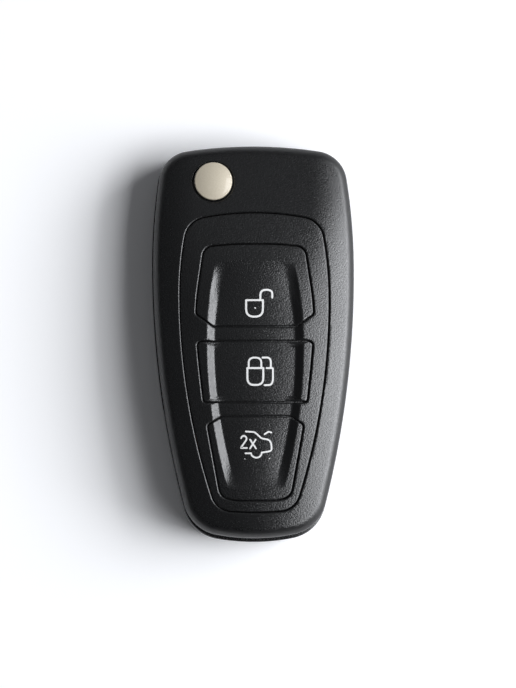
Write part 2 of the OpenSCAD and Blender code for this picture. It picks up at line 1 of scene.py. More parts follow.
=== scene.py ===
"""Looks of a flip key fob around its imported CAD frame: a grained black case, a panel and three press
keys with one finger groove across them, white pictograms, a satin release key and a steel blade.
Sizes are worked out in millimetres and put into the meshes in metres."""
import math

import bmesh
import bpy
import numpy as np
from mathutils import Matrix, Vector


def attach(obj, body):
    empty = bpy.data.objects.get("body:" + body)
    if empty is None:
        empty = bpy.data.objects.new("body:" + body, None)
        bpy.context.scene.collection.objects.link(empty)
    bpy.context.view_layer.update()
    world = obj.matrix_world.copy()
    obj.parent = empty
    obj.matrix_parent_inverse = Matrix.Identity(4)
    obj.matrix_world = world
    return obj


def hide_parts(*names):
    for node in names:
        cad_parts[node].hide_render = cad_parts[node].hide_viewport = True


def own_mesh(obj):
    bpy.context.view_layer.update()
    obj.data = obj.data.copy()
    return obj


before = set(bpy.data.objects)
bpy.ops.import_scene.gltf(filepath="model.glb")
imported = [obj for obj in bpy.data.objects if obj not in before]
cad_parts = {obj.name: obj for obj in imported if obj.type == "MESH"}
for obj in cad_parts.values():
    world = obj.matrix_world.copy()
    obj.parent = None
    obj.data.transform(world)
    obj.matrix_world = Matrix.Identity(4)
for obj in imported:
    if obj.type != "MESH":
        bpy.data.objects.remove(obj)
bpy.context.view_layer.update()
MM = 0.001
scene = bpy.context.scene
scene.view_settings.view_transform = "Standard"

# Outlines: half width, y of the widest place, top y, bottom y, then the radii of the top, upper side,
# lower side, bottom, top corner and bottom corner
CASE = (19.9, 15.2, 39.0, -39.0, 90.0, 120.19, 188.05, 39.5, 6.6, 8.0)
FRONT = (19.75, 15.2, 38.85, -38.3, 90.0, 120.19, 188.05, 39.5, 6.4, 8.0)
PANEL = (14.5, 9.0, 25.2, -33.2, 53.0, 65.97, 128.96, 60.0, 4.6, 4.0)
# Points on the outlines' arcs, in the order in which they are walked
OUTLINE_STEPS = (24, 22, 24, 50, 24, 22)
# Corners of the press keys, right half from the bottom up: x, y, radius
UNLOCK = ((8.1, 3.05, 0.6), (11.4, 5.4, 0.9), (11.15, 9.0, 40.0), (9.75, 18.45, 2.0), (4.0, 18.95, 30.0))
LOCK = ((10.0, -11.75, 0.5), (10.75, -5.0, 90.0), (11.2, -0.1, 0.8))
BOOT = ((4.0, -30.9, 10.0), (6.75, -30.2, 2.2), (8.35, -21.4, 60.0), (9.25, -16.4, 0.8), (6.5, -14.8, 0.6))

# Crown of the face: its height, the radii across and along, and the y of its highest place
CROWN_TOP, CROWN_ACROSS, CROWN_ALONG, CROWN_MID = 16.0, 60.0, 255.0, -2.0
# Its flatter upper part: the y where it starts and the length over which it comes in, half the width of its
# middle and how that rises; then the slope of its sides, how they fall off, and how much lower it lies
FLAT_FROM, FLAT_SPAN, FLAT_HALF, FLAT_BOW = 6.0, 23.0, 11.0, 0.0064
FLAT_SLOPE, FLAT_FALL, FLAT_DROP = 0.141, 0.0115, 0.62
# Finger groove: y of its middle, half length, half width and depth; then the width of a flank at the middle,
# the radii of the sides above and below y = 0, and the y from which the sides round off
GROOVE_MID, GROOVE_REACH, GROOVE_SIDE, GROOVE_DEPTH = -6.45, 22.35, 9.4, 0.95
GROOVE_FLANK, GROOVE_BOWS, GROOVE_ROUND = 1.38, (69.0, 107.0), 14.9

# Joint of the shells: its height, then how far in and how far off it each row of its softened edge lies
PARTING = 8.0
JOINT_EDGE = ((0.15, 0.0), (0.05, 0.05), (0.0, 0.2))
# Gaps round the panel and the press keys, and the panel's thickness
PANEL_GAP, KEY_GAP, PANEL_THICK = 0.2, 0.25, 1.6
# Feet of the press keys: x, y of each, half width, half length, lowest and highest place
KEY_X = 3.2
KEY_FEET = {"unlock": 11.2, "lock": -5.7, "boot": -22.5}
FOOT_WIDE, FOOT_LONG, FOOT_LOW, FOOT_TOP = 2.5, 2.0, 11.1, 13.4
# Retaining flange of a press key: how far it stands out, and how far under the crown its two faces lie
FLANGE, FLANGE_LOW, FLANGE_TOP = 0.65, 2.35, 1.75
# Plan of the silicone mat; heights of its skirt, its sheet and the pads' tops; its nubs' radius and heights
MAT = ((-6.0, -28.1, 1.4), (8.19, -28.1, 1.4), (10.27, -20.44, 60.0), (12.17, -10.73, 60.0),
       (13.32, -0.89, 60.0), (13.7, 9.0, 60.0), (13.15, 17.4, 1.4), (-6.0, 17.4, 1.4))
SKIRT_LOW, SHEET_LOW, SHEET_TOP, PAD_TOP = 6.4, 8.9, 9.6, 11.0
NUB, NUB_LOW, NUB_TOP = 1.4, 8.5, 9.2

# Hub of the folding blade, the radii of its upper and lower journal, and the play in their bores
HUB = np.array([-7.8, 31.3])
JOURNAL_UP, JOURNAL_LOW, PLAY = 5.6, 4.4, 0.05
# The release key leans a little in its hole, up and to the left
CAP = HUB + (-0.16, 0.29)
CAP_HOLE, CAP_HOLE_R = HUB + (-0.12, 0.15), 4.03
# Below this height the release key is black: painted shade that stands in for the dark, deep gap round it,
# while the champagne lacquer shows above
PAINTED_SHADE_LINE = 13.0
# Its spring: seat, turns, radii of the coil and of the wire, and the rise from the first turn to the last
COIL_SEAT, COIL_TURNS, COIL_R, WIRE_R, COIL_RISE = 2.9, 7.0, 2.6, 0.35, 6.84
# Blade and head, measured from the hub: right half of the blade's plan, the head's arm, and the track's steps
BLADE_X = -5.6
BLADE = ((0.82, -43.5, 0.4), (2.05, -42.9, 0.5), (4.1, -40.5, 0.8), (4.1, -5.6, 0.3))
ARM = ((-10.1, -10.5, 0.6), (0.6, -10.5, 0.6), (0.6, 0.0, 0.5), (-6.0, 3.0, 1.0), (-10.1, -4.0, 1.5))
BITES = (0.2, 0.9, -0.6, 0.4, -0.9, 0.7, -0.2, 0.5, 0.0)
# Heights of the blade, its head and the rooms for both; place and radius of the pin that joins them
BLADE_LOW, BLADE_TOP, HEAD_LOW, HEAD_TOP = 5.8, 8.2, 4.4, 9.6
BLADE_ROOM, HEAD_ROOM = (5.5, 8.5), (4.2, 9.8)
PIN, PIN_R = HUB + (BLADE_X, -8.0), 0.8
# Room for blade and head when folded: radius round the hub, right end of the strip above it, lower, right
# and upper edge of the arm's strip, lower and right edge of the blade's strip; then the wall round all that
SWEEP_R, SWEEP_RIGHT, ARM_LOW, ARM_RIGHT, ARM_HIGH = 8.0, 2.7, 20.3, -6.8, 32.3
STRIP_LOW, STRIP_RIGHT, SWEEP_WALL = -13.0, -8.9, 1.1
# Recess for the key ring: half width, upper end, height and the wall round it
RING_HALF, RING_END, RING_HIGH, RING_WALL = 5.5, -31.0, 7.0, 1.2
# Places clear of the case, for cutters that leave it: left, above, below, and over its face
LEFT, ABOVE, BELOW, OVER = -30.0, 50.0, -44.0, 22.0


def soft_edge(radius):
    """Rows of a rounded edge: how far in from the edge and how far under the face each of them lies."""
    turn = np.radians((0, 18, 36, 54, 72))
    return list(zip(radius * (1 - np.cos(turn)), radius * (1 - np.sin(turn)))) + [(1.08 * radius, 0.0)]


HOLE_EDGE = soft_edge(0.30)
PIECE_EDGE = soft_edge(0.17)


# Surfaces

def crown(x, y):
    """Height of the face: an arc of 60 mm across, carried along an arc of 255 mm, highest at y = -2. Over
    the upper part it gives way to a flatter section, lower on the centre line and higher at the sides."""
    across = CROWN_ALONG - CROWN_ACROSS + np.sqrt(CROWN_ACROSS ** 2 - x * x)
    t = np.clip((y - FLAT_FROM) / FLAT_SPAN, 0.0, 1.0)
    wide = np.abs(x)
    out = np.maximum(wide - FLAT_HALF, 0.0)
    level = FLAT_BOW * np.minimum(wide, FLAT_HALF) ** 2 + FLAT_SLOPE * out - FLAT_FALL * out ** 2 - FLAT_DROP
    bowed = CROWN_TOP - CROWN_ALONG + np.sqrt(across ** 2 - (y - CROWN_MID) ** 2)
    return bowed + t * t * (3 - 2 * t) * level


def groove(x, y):
    """Depth of the finger groove: its bowed sides round off at the top, the flanks widen towards both ends
    and turn hollow there, and the floor runs out gently on the centre line and later beside the flanks.
    The upper crease is crisp, the lower one soft."""
    crisp, soft = 0.03, 0.07
    upper = y > GROOVE_MID
    along = np.abs(y - GROOVE_MID) / GROOVE_REACH
    share = lambda power: np.maximum(1.0 - along ** power, 0.0)
    radius = np.where(y > 0, *GROOVE_BOWS)
    side = GROOVE_SIDE - radius + np.sqrt(radius ** 2 - np.minimum(np.abs(y), 40.0) ** 2)
    side = side - 3.0 * np.maximum(0.0, y - GROOVE_ROUND) ** 2
    flank = GROOVE_FLANK + np.where(upper, 0.95, 0.5) * along ** 2
    u = (side - np.abs(x)) / flank
    ramp = 0.5 * (1.0 + np.sqrt(u * u + crisp ** 2) - np.sqrt((u - 1.0) ** 2 + soft ** 2))
    hollow = 1.0 - (1.0 - np.clip(u, 0.0, 1.0)) ** 2
    turn = np.clip((along - np.where(upper, 0.62, 0.74)) / 0.18, 0.0, 1.0)
    c = np.clip(np.abs(x) / np.maximum(side - flank, 0.5), 0.0, 1.0) ** 2
    foot = share(5.2)
    middle = np.where(upper, share(3.5), share(3.0))
    profile = np.clip(ramp * (1 - turn) + hollow * turn, 0.0, 1.0)
    return GROOVE_DEPTH * (middle * (1 - c) + foot * c) * profile


def face(x, y):
    """Height of the panel and the keys: the crown less the finger groove."""
    return crown(x, y) - groove(x, y)


# Plan curves

def meet(a, ra, b, rb, side):
    """Where two circles cross, on the given side of the line between their centres."""
    d = b - a
    l = np.hypot(*d)
    t = (ra * ra - rb * rb + l * l) / (2 * l)
    return a + d * t / l + side * math.sqrt(ra * ra - t * t) * np.array([-d[1], d[0]]) / l


def arc(centre, radius, a, b, n):
    """n points from angle a towards b on a circle, the last one left out."""
    t = a + (b - a) * np.arange(n) / n
    return centre + radius * np.stack([np.cos(t), np.sin(t)], 1)


def outline(plan, inset=0.0):
    """Closed ring of tangent arcs, clockwise from the top centre: top, corner, upper side, lower side,
    corner, bottom, then its mirror image. An inset takes the same amount off every radius."""
    wide, waist, top, bottom, r_top, r_upper, r_lower, r_bottom, r_corner, r_foot = plan
    ct, cu = np.array([0.0, top - r_top]), np.array([wide - r_upper, waist])
    cl, cb = np.array([wide - r_lower, waist]), np.array([0.0, bottom + r_bottom])
    tc = meet(ct, r_top - r_corner, cu, r_upper - r_corner, -1)
    bc = meet(cb, r_bottom - r_foot, cl, r_lower - r_foot, 1)
    turn = lambda v: math.atan2(v[1], v[0])
    arcs = ((ct, r_top, math.pi / 2, turn(tc - ct)), (tc, r_corner, turn(tc - ct), turn(tc - cu)),
            (cu, r_upper, turn(tc - cu), 0.0), (cl, r_lower, 0.0, turn(bc - cl)),
            (bc, r_foot, turn(bc - cl), turn(bc - cb)), (cb, r_bottom, turn(bc - cb), -math.pi / 2))
    half = [arc(centre, r - inset, a, b, n) for (centre, r, a, b), n in zip(arcs, OUTLINE_STEPS)]
    half = np.concatenate(half + [[[0.0, bottom + inset]]])
    half[0, 0] = 0.0
    return np.concatenate([half, half[-2:0:-1] * [-1, 1]])


def key_plan(corners, grow=0.0, mirror=True, bend=9, span=14):
    """Closed ring of straight edges with an arc at each corner, mirrored about x = 0 where asked and grown
    outwards by moving each corner along both edge normals. Arcs and edges keep their point counts."""
    p = np.array(list(corners) + [(-x, y, r) for x, y, r in reversed(corners)] * mirror)
    q, r = p[:, :2], p[:, 2] + grow
    a, b = np.roll(q, 1, 0), np.roll(q, -1, 0)
    normal = lambda d: np.stack([d[:, 1], -d[:, 0]], 1) / np.hypot(d[:, 0], d[:, 1])[:, None]
    m, k = normal(q - a), normal(b - q)
    q = q + grow * (m + k) / (1 + (m * k).sum(1))[:, None]
    a, b = np.roll(q, 1, 0) - q, np.roll(q, -1, 0) - q
    u = a / np.hypot(a[:, 0], a[:, 1])[:, None]
    w = b / np.hypot(b[:, 0], b[:, 1])[:, None]
    half = np.arccos((u * w).sum(1)) / 2
    mid = (u + w) / np.hypot(*(u + w).T)[:, None]
    centre = q + mid * (r / np.sin(half))[:, None]
    reach = (r / np.tan(half))[:, None]
    s, e = q + u * reach - centre, q + w * reach - centre
    s, e = np.arctan2(s[:, 1], s[:, 0]), np.arctan2(e[:, 1], e[:, 0])
    t = (e - s + math.pi) % (2 * math.pi) - math.pi
    angle = s[:, None] + t[:, None] * np.linspace(0, 1, bend)
    bows = centre[:, None] + r[:, None, None] * np.stack([np.cos(angle), np.sin(angle)], 2)
    start, stop = bows[:, -1], np.roll(bows, -1, 0)[:, 0]
    f = np.linspace(0, 1, span + 2)[1:-1, None]
    edges = start[:, None] + (stop - start)[:, None] * f
    return np.concatenate([bows, edges], 1).reshape(-1, 2)


def circle(centre, radius, n=128):
    """Clockwise circle."""
    return arc(np.asarray(centre, float), radius, math.pi, -math.pi, n)


def rectangle(x0, y0, x1, y1):
    """Clockwise rectangle."""
    return np.array([(x0, y0), (x0, y1), (x1, y1), (x1, y0)], float)


# Solids

def put(name, data):
    """An object in the scene for a mesh, a lamp or a camera."""
    ob = bpy.data.objects.new(name, data)
    scene.collection.objects.link(ob)
    return ob


def drop(ob):
    """Remove an object and its mesh."""
    mesh = ob.data
    bpy.data.objects.remove(ob)
    bpy.data.meshes.remove(mesh)


def rise(ring, z):
    """A plan ring at one height, or at the heights of an array."""
    return np.column_stack([ring, np.broadcast_to(np.asarray(z, float), len(ring))])


def middle_of(ring):
    """The ring's mean point, as often as the ring has points."""
    return np.broadcast_to(ring.mean(0), ring.shape)


def solid(name, rows, merge=2e-7, sliver=1e-7):
    """Skin over rows of equal length, each a closed ring: quads between neighbouring rows. Points that fall
    together are merged, so a row drawn in to a point or a line closes its end."""
    v = np.stack(rows)
    m, n = v.shape[:2]
    k = np.arange(m - 1)[:, None] * n
    i = np.arange(n)[None, :]
    j = (i + 1) % n
    quads = np.stack([k + i, k + j, k + n + j, k + n + i], 2).reshape(-1, 4)
    mesh = bpy.data.meshes.new(name)
    mesh.from_pydata((v.reshape(-1, 3) * MM).tolist(), [], quads.tolist())
    bm = bmesh.new()
    bm.from_mesh(mesh)
    bmesh.ops.remove_doubles(bm, verts=bm.verts, dist=merge)
    bmesh.ops.dissolve_degenerate(bm, edges=bm.edges, dist=sliver)
    bmesh.ops.recalc_face_normals(bm, faces=bm.faces)
    bm.to_mesh(mesh)
    bm.free()
    return put(name, mesh)


def inward(ring, t, keep=0.4):
    """The ring drawn in towards the line x = 0: x falls to nothing and y to its kept share as t goes to 1."""
    mid = (ring[:, 1].max() + ring[:, 1].min()) / 2
    return np.column_stack([ring[:, 0] * (1 - t), mid + (ring[:, 1] - mid) * (1 - t * (1 - keep))])


def over(ring, top, steps, keep=0.4):
    """Rows that cover a ring with the height function top, from the ring in to the line x = 0."""
    rows = [inward(ring, t, keep) for t in np.linspace(0, 1, steps)[1:]]
    return [rise(q, top(q[:, 0], q[:, 1])) for q in rows]


def prism(ring, z0, z1):
    """Straight solid over a convex or star-shaped plan ring."""
    hub = middle_of(ring)
    return solid("cutter", [rise(hub, z0), rise(ring, z0), rise(ring, z1), rise(hub, z1)])


def well(plan, floor, top, flare=0.38, clear=0.03):
    """Cutter for an opening in a curved face: straight walls from the floor to just under the face, then
    a rounded flare that follows the face's height at each point of the plan, so the edge is softened."""
    q = plan(0.0)
    hub = middle_of(q)
    rows = [rise(hub, floor), rise(q, floor)]
    for out, under in HOLE_EDGE[:-1]:
        q = plan(out)
        rows.append(rise(q, top(q[:, 0], q[:, 1]) - under))
    q = plan(flare)
    rows += [rise(q, top(q[:, 0], q[:, 1]) + clear), rise(q, OVER), rise(hub, OVER)]
    return solid("cutter", rows)


def work(ob, kind, *tools):
    """Cut tools from a solid or join them to it; the tools go."""
    for tool in tools:
        mod = ob.modifiers.new("work", "BOOLEAN")
        mod.operation, mod.object, mod.solver = kind, tool, "MANIFOLD"
    made = bpy.data.meshes.new_from_object(ob.evaluated_get(bpy.context.evaluated_depsgraph_get()))
    ob.modifiers.clear()
    old, ob.data = ob.data, made
    bpy.data.meshes.remove(old)
    for tool in tools:
        drop(tool)
    return ob


def joined(name, pieces):
    """Several solids as one object."""
    bm = bmesh.new()
    for ob in pieces:
        bm.from_mesh(ob.data)
    mesh = bpy.data.meshes.new(name)
    bm.to_mesh(mesh)
    bm.free()
    for ob in pieces:
        drop(ob)
    return put(name, mesh)


def plate(name, plan, z0, z1, edge):
    """Flat piece between two heights with both edges rounded."""
    hub = middle_of(plan(0.0))
    rows = [rise(plan(-d), z0 + up) for d, up in reversed(edge)]
    rows += [rise(plan(-d), z1 - down) for d, down in edge]
    return solid(name, [rise(hub, z0)] + rows + [rise(hub, z1)])


def turned(centre, profile, n=160):
    """Rows of a profile of radius and height, carried round the axis through centre."""
    ring = circle((0, 0), 1.0, n)
    return [rise(centre + ring * r, z) for r, z in profile]


# Pieces

def block_parts(z0, z1):
    """The solid round the blade head's pocket, as three prisms."""
    wall = SWEEP_WALL
    return [prism(circle(HUB, SWEEP_R + wall), z0, z1),
            prism(rectangle(LEFT, HUB[1] - 1.0, SWEEP_RIGHT + wall, ABOVE), z0, z1),
            prism(rectangle(LEFT, ARM_LOW - wall, ARM_RIGHT + wall, ARM_HIGH), z0, z1)]


def blade_space():
    """What the blade head and the blade sweep when folded."""
    return [prism(circle(HUB, SWEEP_R), *HEAD_ROOM),
            prism(rectangle(LEFT, HUB[1], SWEEP_RIGHT, ABOVE), *HEAD_ROOM),
            prism(rectangle(LEFT, ARM_LOW, ARM_RIGHT, ARM_HIGH), *HEAD_ROOM),
            prism(rectangle(LEFT, STRIP_LOW, STRIP_RIGHT, HUB[1]), *BLADE_ROOM)]


def bay(inset, z0, z1, beside_blade, ring_block=False):
    """Room for the module: the case plan inset, less the block and, where asked, the blade's strip and
    the block of the key ring."""
    low, high = z0 - 1, z1 + 1
    tools = block_parts(low, high)
    if beside_blade:
        strip = rectangle(LEFT, STRIP_LOW - SWEEP_WALL, STRIP_RIGHT + SWEEP_WALL, HUB[1])
        tools.append(prism(strip, low, high))
    if ring_block:
        half = RING_HALF + RING_WALL
        tools.append(prism(rectangle(-half, BELOW, half, RING_END + RING_WALL), low, high))
    return work(prism(outline(CASE, inset), z0, z1), "DIFFERENCE", *tools)


def front_shell():
    """Outside of the front shell: wall, a rolled rim of 2.3 mm that ends in the slope of the crown, and the
    crown; then the blade's room, the bays, the panel's window and the hub's bore and hole are cut."""
    roll, end, wall, skin = 2.3, math.radians(74), 3.4, 1.5
    hub_floor, bore_top, step = 7.0, 11.5, 9.5
    last = outline(FRONT, roll * (1 - math.cos(end)))
    base = crown(last[:, 0], last[:, 1]) - roll * math.sin(end)
    rows = [rise(inward(outline(FRONT), 1), PARTING)]
    rows += [rise(outline(FRONT, d), PARTING + up) for d, up in JOINT_EDGE]
    for a in np.linspace(0, end, 15):
        rows.append(rise(outline(FRONT, roll * (1 - math.cos(a))), base + roll * math.sin(a)))
    ob = solid("front_cover", rows + over(last, crown, 44))
    room = outline(CASE, wall)
    ceiling = lambda x, y: crown(x, y) - skin
    rows = [rise(inward(room, 1), step), rise(room, step), rise(room, ceiling(*room.T))]
    high = work(solid("cutter", rows + over(room, ceiling, 16)), "DIFFERENCE", *block_parts(8, OVER))
    hole = well(lambda g: circle(CAP_HOLE, CAP_HOLE_R + g), floor=hub_floor, top=crown)
    window = well(lambda g: outline(PANEL, -PANEL_GAP - g), floor=10.9, top=crown)
    return work(ob, "DIFFERENCE", *blade_space(), bay(2.0, 7, step + 0.1, True), high, window,
                prism(circle(HUB, JOURNAL_UP + PLAY), hub_floor, bore_top), hole)


def rear_shell():
    """Outside of the rear shell: a flat back, a rolled rim of 3.5 mm and a wall up to the joint; then the
    bays, the blade's room, the lower bore and the key-ring recess are cut."""
    roll, wall, floor, step = 3.5, 1.9, 1.5, 4.8
    rows = [rise(inward(outline(CASE), 1), 0.0), rise(outline(CASE, roll + 0.1), 0.0)]
    for a in np.radians(np.linspace(84, 0, 15)):
        rows.append(rise(outline(CASE, roll * (1 - math.cos(a))), roll * (1 - math.sin(a))))
    rows += [rise(outline(CASE, d), PARTING - down) for d, down in reversed(JOINT_EDGE)]
    rows.append(rise(inward(outline(CASE), 1), PARTING))
    ob = solid("rear_cover", rows)
    ring_way = prism(rectangle(-RING_HALF, BELOW, RING_HALF, RING_END), -1, RING_HIGH)
    return work(ob, "DIFFERENCE", bay(wall, floor, step + 0.1, False, True), bay(wall, step, 9, True, True),
                *blade_space(), prism(circle(HUB, JOURNAL_LOW + PLAY), floor, 6.5), ring_way)


def button_panel():
    """Plate 1.6 mm thick that follows the face, with softened edges and a window for each press key."""
    under = lambda x, y: crown(x, y) - PANEL_THICK
    rows = [rise(q, under(*q.T)) for q in (inward(outline(PANEL), t) for t in np.linspace(1, 0, 10))]
    for d, down in PIECE_EDGE:
        q = outline(PANEL, d)
        rows.append(rise(q, face(q[:, 0], q[:, 1]) - down))
    rows += over(outline(PANEL, PIECE_EDGE[-1][0]), face, 76)
    ob = solid("key_panel", rows)
    return work(ob, "DIFFERENCE", *(well(lambda g, p=p: key_plan(p, KEY_GAP + g), floor=8.0, top=face)
                                    for p in (UNLOCK, LOCK, BOOT)))


def press_key(name, corners, foot_y):
    """Cap of a press key up to the grooved face with softened edges, a retaining flange 0.65 mm wider
    under the panel, and its foot over the keypad."""
    keep = 0.3
    at = lambda q, d: rise(q, crown(q[:, 0], q[:, 1]) - d)
    plan = key_plan(corners)
    wide = key_plan(corners, FLANGE)
    rows = [at(inward(wide, t, keep), FLANGE_LOW) for t in (1, 0.5)]
    rows += [at(wide, FLANGE_LOW), at(wide, FLANGE_TOP), at(plan, FLANGE_TOP)]
    for d, down in PIECE_EDGE:
        q = key_plan(corners, -d)
        rows.append(rise(q, face(q[:, 0], q[:, 1]) - down))
    rows += over(key_plan(corners, -PIECE_EDGE[-1][0]), face, 62, keep)
    foot = rectangle(KEY_X - FOOT_WIDE, foot_y - FOOT_LONG, KEY_X + FOOT_WIDE, foot_y + FOOT_LONG)
    return work(solid(name, rows), "UNION", prism(foot, FOOT_LOW, FOOT_TOP))


def release_key():
    """Cap turned about its own axis, an edge rounded by 0.3 mm and a dome of 12 mm radius, on a stem and a
    retaining flange turned about the hub's axis."""
    top, seat, wall, edge, bow = 14.2, 11.4, 3.71, 0.3, 12.0
    dome = lambda r: top - bow + math.sqrt(bow * bow - r * r)
    stem = [(0, 6.1), (1.6, 6.1), (1.6, 10.5), (4.6, 10.5), (4.6, seat)]
    cap = [(wall, seat), (wall, PAINTED_SHADE_LINE)]
    cap += [(wall - edge * (1 - math.cos(a)), dome(wall - edge) - edge * (0.96 - math.sin(a)))
            for a in np.radians(np.linspace(0, 73, 8))]
    cap += [(r, dome(r)) for r in np.linspace(wall - edge, 0.0, 40)[1:]]
    return solid("release_cap", turned(HUB, stem) + turned(CAP, cap))


def key_mat():
    """Silicone sheet with a rounded outer edge, a skirt 1 mm thick down to the board and a nub over each
    switch."""
    thick = 1.0
    plan = lambda g: key_plan(MAT, g, mirror=False)
    hub = middle_of(plan(0.0))
    rows = [rise(hub, SHEET_LOW), rise(plan(-thick), SHEET_LOW), rise(plan(-thick), SKIRT_LOW),
            rise(plan(0.0), SKIRT_LOW)]
    rows += [rise(plan(-d), SHEET_TOP - down) for d, down in soft_edge(0.3)]
    ob = solid("key_mat", rows + [rise(hub, SHEET_TOP)])
    return work(ob, "UNION", *[prism(circle((KEY_X, y), NUB), NUB_LOW, NUB_TOP) for y in KEY_FEET.values()])


def key_pad(name, y):
    """Turned pad that stands on the mat under a key's foot, with a cone at its base and a rounded top edge."""
    base, neck, cone = 2.5, 1.9, 0.5
    profile = [(0, SHEET_TOP), (base, SHEET_TOP), (neck, SHEET_TOP + cone)]
    profile += [(neck - d, PAD_TOP - down) for d, down in soft_edge(0.2)] + [(0, PAD_TOP)]
    return solid(name, turned(np.array([KEY_X, y]), profile, 64))


def release_coil():
    """Round wire of 0.7 mm carried along seven turns of 2.6 mm radius. The pitch falls to the wire's own
    thickness in the first and the last turn, so both ends lie flat."""
    sides = 12
    turn = np.linspace(0.0, COIL_TURNS, 337)
    pitch = 0.72 + 0.36 * np.interp(turn, (0.7, 1.2, 5.8, 6.3), (0, 1, 1, 0))
    z = np.append(0.0, np.cumsum(pitch[1:] + pitch[:-1]))
    z = COIL_SEAT + WIRE_R + 0.02 + COIL_RISE * z / z[-1]
    a, b = 2 * math.pi * turn[:, None], 2 * math.pi * np.arange(sides)[None, :] / sides
    out = COIL_R + WIRE_R * np.cos(b)
    rows = np.stack([HUB[0] + out * np.cos(a), HUB[1] + out * np.sin(a), z[:, None] + WIRE_R * np.sin(b)], 2)
    ends = np.broadcast_to(rows[[0, -1]].mean(1, keepdims=True), (2, sides, 3))
    return solid("release_coil", [ends[0], *rows, ends[1]])


def track(top, side):
    """Cutter for the track in one blade face: a strip 2.8 mm wide whose middle steps from side to side, with
    the steps eased over 1.2 mm, a round start and a small bevel at the face. Side is 1 for the upper face."""
    wide, deep, slope, ease, start, pitch = 1.4, 0.65, 0.12, 0.6, -15.0, 3.4
    y = np.linspace(start + wide, -47.0, 300)
    steps = start - pitch * np.arange(len(BITES))
    knots, to = np.sort(np.concatenate([steps, steps - 2.0])), np.repeat(BITES[::-1], 2)
    middle = np.mean([np.interp(y + d, knots, to) for d in np.linspace(-ease, ease, 9)], 0)
    half = wide * np.sqrt(1.0 - np.clip((y - start) / wide, 0.0, 1.0) ** 2)
    half[-1] = 0.0
    bevel = np.minimum(half, slope)
    section = [(s * (half + out * bevel), top + side * z) for s, order in ((-1, 1), (1, -1))
               for out, z in ((0, -deep), (0, -slope), (1, 0.0), (1, 1.0))[::order]]
    ring = [np.column_stack([HUB[0] + BLADE_X + middle + x, HUB[1] + y, np.full(len(y), z)])
            for x, z in section]
    return solid("cutter", list(np.stack(ring, 1)))


def blade():
    """Key blade with a tapered tip, the milled track in both faces and the pin's hole."""
    plan = lambda g: key_plan(BLADE, g) + (HUB + (BLADE_X, 0))
    ob = plate("steel_blade", plan, BLADE_LOW, BLADE_TOP, soft_edge(0.2))
    return work(ob, "DIFFERENCE", track(BLADE_TOP, 1), track(BLADE_LOW, -1),
                prism(circle(PIN, PIN_R), BLADE_LOW - 0.8, BLADE_TOP + 0.8))


def blade_head():
    """Head of the blade: a disc and an arm with rounded edges and both journals; then the bores of the
    release key and its spring, the blade's socket and the pin's hole are cut."""
    edge, disc, key_bore, spring_bore = soft_edge(0.35), 6.8, 4.75, 3.3
    ob = plate("blade_hub", lambda g: circle(HUB, disc + g), HEAD_LOW, HEAD_TOP, edge)
    arm = plate("cutter", lambda g: key_plan(ARM, g, mirror=False) + HUB, HEAD_LOW, HEAD_TOP, edge)
    work(ob, "UNION", arm, prism(circle(HUB, JOURNAL_UP), 7.0, 11.4), prism(circle(HUB, JOURNAL_LOW), 1.7, 7.2))
    x, y, wide = HUB[0] + BLADE_X, HUB[1], 4.1
    return work(ob, "DIFFERENCE", prism(circle(HUB, key_bore), 7.8, OVER),
                prism(circle(HUB, spring_bore), COIL_SEAT, OVER),
                prism(rectangle(x - wide, y - 11.5, x + wide, y - 5.6), BLADE_LOW, BLADE_TOP),
                prism(circle(PIN, PIN_R), 0, OVER))


# Finishes

# Sockets of a Mix node for colours: factor, both colours, and the colour that comes out
MIX_FACTOR, MIX_A, MIX_B, MIXED = 0, 6, 7, 2


class Val:
    """A shader value: arithmetic on it adds Math nodes to its material."""

    def __init__(self, finish, socket):
        self.finish, self.socket = finish, socket

    def _math(self, kind, a, b):
        return self.finish.add("ShaderNodeMath", {"operation": kind}, {0: a, 1: b})

    def __add__(self, o): return self._math("ADD", self, o)
    def __radd__(self, o): return self._math("ADD", o, self)
    def __sub__(self, o): return self._math("SUBTRACT", self, o)
    def __rsub__(self, o): return self._math("SUBTRACT", o, self)
    def __mul__(self, o): return self._math("MULTIPLY", self, o)
    def __rmul__(self, o): return self._math("MULTIPLY", o, self)
    def __pow__(self, o): return self._math("POWER", self, o)
    def above(self, o): return self._math("GREATER_THAN", self, o)
    def least(self, o): return self._math("MINIMUM", self, o)
    def most(self, o): return self._math("MAXIMUM", self, o)


class Nodes:
    """The nodes of a material or of the world, added one at a time."""

    def __init__(self, tree):
        self.tree = tree
        tree.nodes.clear()

    def add(self, kind, settings=None, sockets=None, out=0):
        """One node: its settings first, then the values or links of its sockets."""
        node = self.tree.nodes.new(kind)
        for key, value in (settings or {}).items():
            setattr(node, key, value)
        for key, value in (sockets or {}).items():
            if isinstance(value, Val):
                self.tree.links.new(value.socket, node.inputs[key])
            else:
                node.inputs[key].default_value = value
        return Val(self, node.outputs[out])

    def tint(self, factor, a, b):
        """Colour mixed from a to b."""
        sockets = {MIX_FACTOR: factor, MIX_A: (*a, 1.0), MIX_B: (*b, 1.0)}
        return self.add("ShaderNodeMix", {"data_type": "RGBA"}, sockets, MIXED)

    def show(self, shader, kind="Material"):
        """Carry a shader to the output."""
        self.tree.links.new(shader.socket, self.tree.nodes.new("ShaderNodeOutput" + kind).inputs["Surface"])


